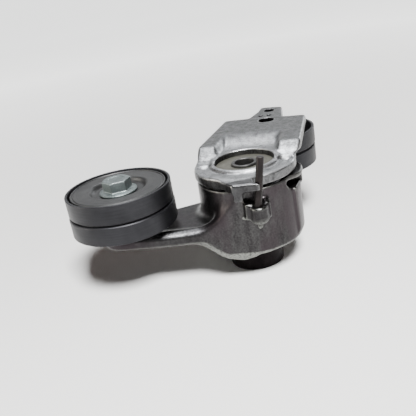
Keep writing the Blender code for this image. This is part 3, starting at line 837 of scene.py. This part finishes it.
# ------------------------------------------------------------------ pulleys

def placed(profile, side):
    """Outline moved to the belt's plane, and turned over when side is -1."""
    return [(radius, BELT_PLANE + side * height) for radius, height in profile]


RIM_PROFILE = [
    (37.6, 14.15), (37.6, 0.9), (35.6, 0.8), (35.6, -0.6), (37.2, -0.7), (38.0, -1.6),
    (38.0, -14.15), (35.8, -14.15), (35.8, -2), (23.0, -2), (23.0, -6.6), (20.3, -6.6),
    (20.3, 6.6), (23.0, 6.6), (23.0, 2), (35.8, 2), (35.8, 14.15),
]
COVER_PROFILE = [
    (BOLT_HOLE, 9.85), (17.6, 9.85), (18.7, 10.2), (19.4, 11.0), (20.1, 12.3), (20.9, 13.1), (21.8, 13.35),
    (32.0, 13.35), (32.35, 12.95), (32.8, 12.95), (33.1, 13.55), (33.9, 13.55), (34.1, 13.2),
    (34.1, 11.85), (22.4, 11.85), (21.0, 10.6), (19.6, 8.8), (18.9, 8.35), (BOLT_HOLE, 8.35),
]
BALL_CIRCLE = 14.25
BALL_RADIUS = 3.375
BALL_COUNT = 8
RACE_HALF = 6.0
INNER_EDGE = 11.6
OUTER_EDGE = 16.9
CAGE_INSIDE = 13.0
CAGE_OUTSIDE = 15.5
CAGE_DIP = 2.2


def groove_profile(edge, side):
    """Race groove: an arc about the ball circle, from one edge to the other."""
    reach = BALL_RADIUS + 0.12
    half = math.asin(math.sqrt(reach ** 2 - (BALL_CIRCLE - edge) ** 2) / reach)
    points = []
    for step in range(13):
        angle = -half + 2 * half * step / 12
        points.append((BALL_CIRCLE + side * reach * math.cos(angle), reach * math.sin(angle)))
    return points


def race_profile(back, edge, side):
    """Race from its plain back to its grooved edge."""
    start = [(back, RACE_HALF), (back, -RACE_HALF), (edge, -RACE_HALF)]
    return start + groove_profile(edge, side) + [(edge, RACE_HALF)]


def build_pulley(name, body, holder, cage_body, axis, side, spacer_end, shank_end):
    """Pulley with its bearing, cover and bolt, turned over when side is -1."""
    def add(label, mesh, material, rider, nodes, sharp=None):
        nodes = ["%s_%s" % (name, node) for node in nodes]
        piece("%s_%s" % (name, label), mesh, material, rider, nodes, axis, sharp)

    def turned(label, profile, material, rider, slot, nodes, segments=128, edge=0.3):
        mesh = lathe("%s_%s" % (name, label), placed(profile, side), segments, edge)
        add(label, mesh, material, rider, nodes)

    turned("rim", RIM_PROFILE, RIM_STEEL, body, "phosphated_steel", ["pulley"], 192, 0.35)
    turned("cover", COVER_PROFILE, COVER_STEEL, holder, "pressed_steel", ["dust_cover"], 192, 0.22)
    inner = race_profile(8.6, INNER_EDGE, -1)
    outer = race_profile(20.0, OUTER_EDGE, 1)
    turned("race_inside", inner, GROUND_STEEL, holder, "bearing_steel", ["inner_race"])
    turned("race_outside", outer, GROUND_STEEL, body, "bearing_steel", ["outer_race"])
    for label, node, low in (("seal_near_cover", "outer_seal", 4.9), ("seal_near_arm", "inner_seal", -5.7)):
        lip = [
            (12.0, low), (13.2, low), (13.6, low + 0.15), (15.6, low + 0.15), (16.0, low),
            (16.6, low), (16.6, low + 0.8), (12.0, low + 0.8),
        ]
        turned(label, lip, RUBBER, body, "seal_rubber", [node], edge=0.15)
    spacer = [
        (BOLT_HOLE, spacer_end), (INNER_EDGE, spacer_end), (INNER_EDGE, -6.3), (8.3, -6.3),
        (8.3, RACE_HALF), (BOLT_HOLE, RACE_HALF),
    ]
    turned("spacer_turned", spacer, GROUND_STEEL, holder, "bearing_steel", ["spacer"])
    washer = ring_profile(BOLT_HOLE, INNER_EDGE, 6.3, 8.05)
    turned("washer_flat", washer, GROUND_STEEL, holder, "bearing_steel", ["washer"])
    cage = cage_mesh(name + "_cage_crown", side)
    add("cage_crown", cage, CAGE_BRASS, cage_body, ["cage"], 35)
    for number in range(1, BALL_COUNT + 1):
        label = "bearing_ball_%d" % number
        mesh = ball_mesh("%s_%s" % (name, label), 2 * math.pi * (number - 1) / BALL_COUNT)
        add(label, mesh, GROUND_STEEL, cage_body, ["ball_%d" % number])
    bolt = bolt_mesh(name + "_bolt_forged", side, shank_end)
    add("bolt_forged", bolt, ZINC, holder, ["bolt"], 40)


def ball_mesh(name, angle):
    """Ball at an angle round the bearing."""
    shape = bmesh.new()
    place = Vector((BALL_CIRCLE * math.cos(angle), BALL_CIRCLE * math.sin(angle), BELT_PLANE)) * MM
    bmesh.ops.create_uvsphere(shape, u_segments=32, v_segments=16, radius=BALL_RADIUS * MM)
    bmesh.ops.translate(shape, verts=shape.verts, vec=place)
    mesh = bpy.data.meshes.new(name)
    shape.to_mesh(mesh)
    shape.free()
    return mesh


def cage_mesh(name, side):
    """Crown cage, whose edge dips between the balls and clears them with arcs."""
    segments = BALL_COUNT * 24
    clear = BALL_RADIUS + 0.3
    top = BALL_RADIUS + 1.25
    verts, faces = [], []
    for step in range(segments):
        angle = 2 * math.pi * step / segments
        past = (angle + math.pi / BALL_COUNT) % (2 * math.pi / BALL_COUNT) - math.pi / BALL_COUNT
        arc = abs(past) * BALL_CIRCLE
        low = -CAGE_DIP * min((arc - clear) / 0.6, 1.0)
        if arc < clear:
            low = math.sqrt(clear ** 2 - arc ** 2)
        for radius, height in ring_profile(CAGE_INSIDE, CAGE_OUTSIDE, low, top):
            place = Vector((radius * math.cos(angle), radius * math.sin(angle), BELT_PLANE + side * height))
            verts.append(place * MM)
    for step in range(segments):
        near, far = step * 4, (step + 1) % segments * 4
        for corner in range(4):
            after = (corner + 1) % 4
            faces.append((near + corner, near + after, far + after, far + corner))
    return closed_mesh(name, verts, faces)


HEX_HALF = 9.0
HEX_TURN = 38
SHANK_RADIUS = 6.0
BOLT_FLANGE_RADIUS = 13.5
CONE_START = 11.0


def bolt_mesh(name, side, shank_end):
    """Flanged hex bolt: chamfered head, coned flange and shank."""
    step = 0.3
    flange_low, head_low, head_top = 10.15, 12.1, 19.65
    low = (-15.0, -15.0, flange_low - 1.2)
    x, y, h = grid(low, (15.0, 15.0, head_top + 1.2), step)
    radius = np.hypot(x, y)
    turns = [math.radians(HEX_TURN + 60 * flat) for flat in range(6)]
    head = common(*[x * math.cos(turn) + y * math.sin(turn) - HEX_HALF for turn in turns])
    chamfer = (radius - 9.2 + (h - head_top) * 1.5) * 0.55
    dish = -common(radius - 5.6, head_top - 0.35 - h)
    head = common(head, chamfer, h - head_top, 11.0 - h)
    cone = (h - head_low + (radius - CONE_START) * 0.25) * 0.97
    top = np.where(radius > CONE_START, cone, h - head_low)
    flange = common(radius - BOLT_FLANGE_RADIUS, flange_low - h, top)
    body = blurred(join(head, flange, 0.9), 1)
    body = np.maximum(body, dish)
    body = np.maximum(body, flange_low - h)
    mesh = field_mesh(name, body, low, step)
    shape = bmesh.new()
    shape.from_mesh(mesh)
    shank_top = flange_low + 0.4
    outline = [
        (0, shank_end), (SHANK_RADIUS - 0.8, shank_end), (SHANK_RADIUS, shank_end + 0.9),
        (SHANK_RADIUS, shank_top), (0, shank_top),
    ]
    shank = lathe(name + "_shank", outline, 64, 0.25)
    shape.from_mesh(shank)
    bpy.data.meshes.remove(shank)
    for vertex in shape.verts:
        vertex.co.z = BELT_PLANE * MM + side * vertex.co.z
    bmesh.ops.recalc_face_normals(shape, faces=shape.faces)
    shape.to_mesh(mesh)
    shape.free()
    return mesh


def build_damper():
    """Friction shoe that hugs the cup's inner wall."""
    step = 0.5
    low, high = (-33.0, -27.0, 26.5), (-14.0, 27.0, 65.5)
    x, y, z = grid(low, high, step)
    radius = np.hypot(x, y)
    angle = np.abs(np.degrees(np.arctan2(np.abs(y), -x)))
    inside, bottom, top, half_angle = 26.3, 28.1, 63.9, 49.5
    wall = common(radius - (CUP_INSIDE - 0.6), inside - radius)
    shoe = common(wall, bottom - z, z - top, (angle - half_angle) * 0.45)
    slots = common(np.abs(np.abs(y) - 9.0) - 0.8, radius - 28.0)
    shoe = blurred(np.maximum(shoe, -slots), 1)
    mesh = field_mesh("damper_shoe_moulded", shoe, low, step)
    piece("damper_shoe_moulded", mesh, FRICTION, "bracket", ["damper_shoe"])


# ------------------------------------------------------------------ stage

FLAT_RADIUS = 3.0
SWEEP_RADIUS = 1.5
SWEEP_STEPS = 12
FLOOR_SEGMENTS = 96

CAMERA_PLACE = (-0.045948, -0.383282, 0.204959)
CAMERA_RIGHT = (0.981598, -0.104286, -0.159966)
CAMERA_UP = (0.187496, 0.367577, 0.910896)
CAMERA_BACK = (-0.036194, -0.924127, 0.380367)


def build_camera():
    """Camera at the reference view."""
    data = bpy.data.cameras.new("camera")
    data.sensor_width = 36.0
    data.lens = 49.46
    data.clip_start = 0.01
    camera = bpy.data.objects.new("camera", data)
    bpy.context.scene.collection.objects.link(camera)
    axes = Matrix((CAMERA_RIGHT, CAMERA_UP, CAMERA_BACK)).transposed()
    camera.matrix_world = Matrix.Translation(CAMERA_PLACE) @ axes.to_4x4()
    bpy.context.scene.camera = camera


def sweep_mesh():
    """Round floor that curves up far away from the object."""
    shape = bmesh.new()
    sections = [(FLAT_RADIUS - 0.4, 0.0), (FLAT_RADIUS, 0.0)]
    for step in range(1, SWEEP_STEPS + 1):
        angle = math.pi / 2 * step / SWEEP_STEPS
        radius = FLAT_RADIUS + SWEEP_RADIUS * math.sin(angle)
        sections.append((radius, SWEEP_RADIUS - SWEEP_RADIUS * math.cos(angle)))
    rings = []
    for radius, z in sections:
        turns = [2 * math.pi * step / FLOOR_SEGMENTS for step in range(FLOOR_SEGMENTS)]
        rings.append([shape.verts.new((radius * math.cos(a), radius * math.sin(a), z)) for a in turns])
    shape.faces.new(rings[0])
    for near, far in zip(rings, rings[1:]):
        for step in range(FLOOR_SEGMENTS):
            after = (step + 1) % FLOOR_SEGMENTS
            shape.faces.new((near[step], far[step], far[after], near[after]))
    mesh = bpy.data.meshes.new("floor")
    shape.to_mesh(mesh)
    shape.free()
    mesh.shade_smooth()
    return mesh


def sweep_finish():
    """Pale paint that darkens far out, where the sweep glows instead."""
    tree = Tree("pale_sweep")
    place = tree.node("ShaderNodeTexCoord").outputs["Object"]
    tone = tree.noise(place, 6.0, 3.0, 0.5)
    x, y, z = tree.node("ShaderNodeSeparateXYZ", Vector=place).outputs
    square = tree.math("ADD", tree.math("POWER", x, 2.0), tree.math("POWER", y, 2.0))
    distance = tree.math("SQRT", square)
    far = tree.span(distance, 0.2, 1.3, 0.0, 2.15)
    glow = tree.product(far, tree.span(z, 0.3, 1.0, 1.0, 0.05))
    paint = tree.mix(tone, colour(0.83, 0.835, 0.83), colour(0.86, 0.865, 0.86))
    paint = tree.mix(tree.span(distance, 0.9, 2.4, 0.0, 1.0), paint, colour(0.08, 0.08, 0.08))
    light = colour(0.95, 0.96, 0.95)
    tree.wire(Base_Color=paint, Roughness=0.7, Emission_Color=light, Emission_Strength=glow)
    return tree.material


def build_floor():
    """Pale floor under the object."""
    mesh = sweep_mesh()
    mesh.materials.append(sweep_finish())
    floor = bpy.data.objects.new("floor", mesh)
    bpy.context.scene.collection.objects.link(floor)


def lamp(name, place, target, size, energy, tint):
    """Rectangular lamp aimed at a target."""
    data = bpy.data.lights.new(name, 'AREA')
    data.shape = 'RECTANGLE'
    data.size, data.size_y = size
    data.energy = energy
    data.color = tint
    made = bpy.data.objects.new(name, data)
    made.location = place
    aim = Vector(target) - Vector(place)
    made.rotation_euler = aim.to_track_quat('-Z', 'Y').to_euler()
    bpy.context.scene.collection.objects.link(made)
    return made


def build_light():
    """Key lamp that lights everything, and soft fills that light only the object."""
    world = bpy.data.worlds.new("studio")
    world.use_nodes = True
    background = world.node_tree.nodes["Background"]
    background.inputs["Color"].default_value = (1.0, 0.52, 0.40, 1.0)
    background.inputs["Strength"].default_value = 0.04
    bpy.context.scene.world = world
    lamp("key", (0.10, -0.80, 1.22), (-0.02, 0.0, 0.03), (0.36, 0.36), 76.0, (1.0, 0.995, 0.985))
    fills = [
        lamp("overhead", (0.0, 0.30, 1.25), (0.0, 0.0, 0.08), (0.5, 0.9), 24.0, (0.96, 0.98, 1.0)),
        lamp("rear", (0.0, 1.25, 0.85), (0.0, 0.02, 0.08), (1.3, 0.45), 4.0, (0.94, 0.975, 1.0)),
        lamp("rear_right", (0.80, 1.02, 0.55), (0.0, 0.02, 0.08), (0.5, 0.5), 5.0, (0.94, 0.975, 1.0)),
        lamp("left", (-1.25, 0.10, 0.62), (-0.02, 0.0, 0.05), (0.8, 0.5), 7.0, (1.0, 0.98, 0.93)),
        lamp("low_left", (-1.29, -0.12, 0.24), (-0.02, 0.0, 0.05), (0.42, 0.5), 11.0, (1.0, 0.95, 0.82)),
        lamp("front_left", (-0.62, -0.78, 1.35), (-0.05, 0.0, 0.04), (0.3, 0.3), 16.0, (0.96, 0.98, 1.0)),
    ]
    lit = bpy.data.collections.new("lit_pieces")
    for made in bpy.context.scene.objects:
        if made.type == 'MESH' and made.name != "floor":
            lit.objects.link(made)
    for made in fills:
        made.light_linking.receiver_collection = lit


build_camera()
build_floor()
build_arm()
build_bracket()
build_pivot()
build_spring()
build_damper()
build_pin()
build_pulley("tension", "tension_pulley", "arm", "tension_cage", TENSION_AXIS, 1, -14.05, -27.85)
build_pulley("idler", "idler_pulley", "bracket", "idler_cage", IDLER_AXIS, -1, -15.35, -14.4)
build_light()
